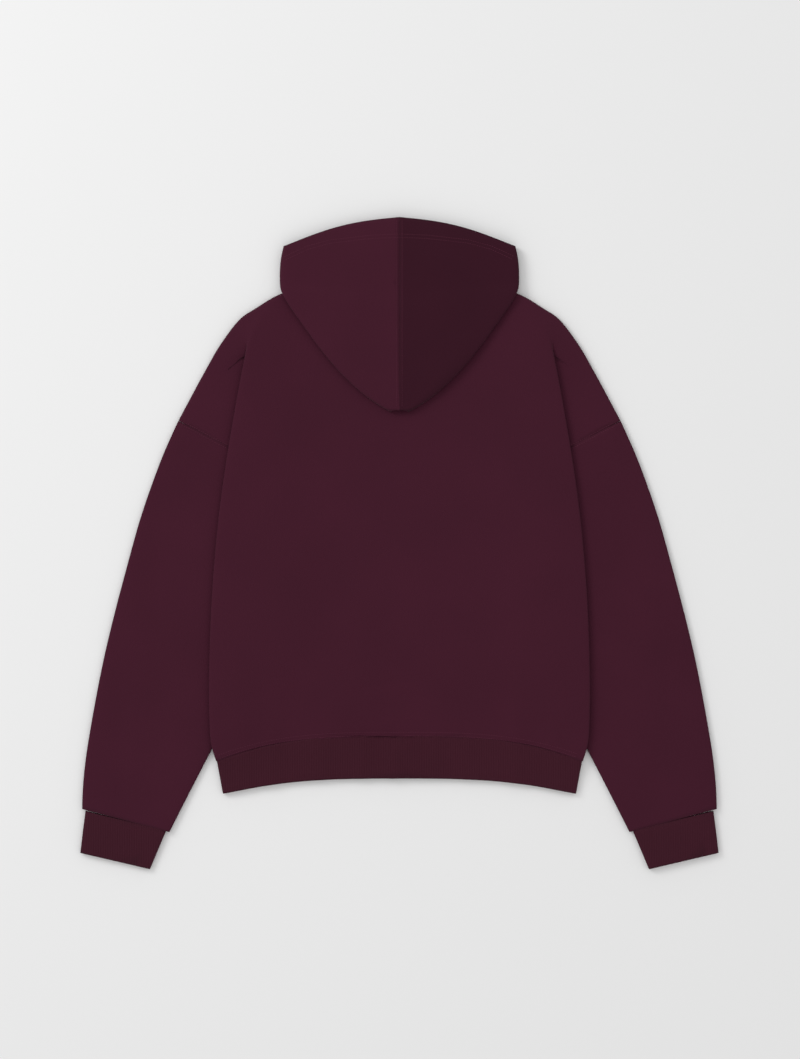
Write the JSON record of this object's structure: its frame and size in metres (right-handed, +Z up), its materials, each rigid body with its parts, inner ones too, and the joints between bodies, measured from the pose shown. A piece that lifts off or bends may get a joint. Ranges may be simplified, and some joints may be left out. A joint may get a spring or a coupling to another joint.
{
  "type": "zip_up_hoodie",
  "caption": "Burgundy fleece zip-up hoodie lying face down, hood folded on its back, with rib cuffs and hem and a metal front zip.",
  "frame": {"origin": "centre of the bounding box's bottom face, on the table the hoodie lies on", "axes": "+Z up from the table, +Y from the hem towards the hood, +X across towards the wearer's right sleeve"},
  "size_m": [0.836, 0.8523, 0.0211],
  "materials": {
    "fleece": "matte",
    "rib": "matte",
    "tape": "matte",
    "zip_metal": "satin"
  },
  "bodies": {
    "hoodie": {"back_panel": "fleece", "cuff_left": "rib", "cuff_right": "rib", "front_left": "fleece", "front_right": "fleece", "hem_rib": "rib", "hood_left": "fleece", "hood_right": "fleece", "sleeve_left": "fleece", "sleeve_right": "fleece", "zip_chain": "zip_metal", "zip_slider": "zip_metal", "zip_tape_left": "tape", "zip_tape_right": "tape"},
    "pull": {"pull_tab": "zip_metal"}
  },
  "joints": [
    {"name": "pull_tab_hinge", "type": "hinge", "parent": "hoodie", "child": "pull", "pos_m": [0, 0.249, 0.0025], "axis": [1, 0, 0], "range_deg": [0, 120]}
  ]
}
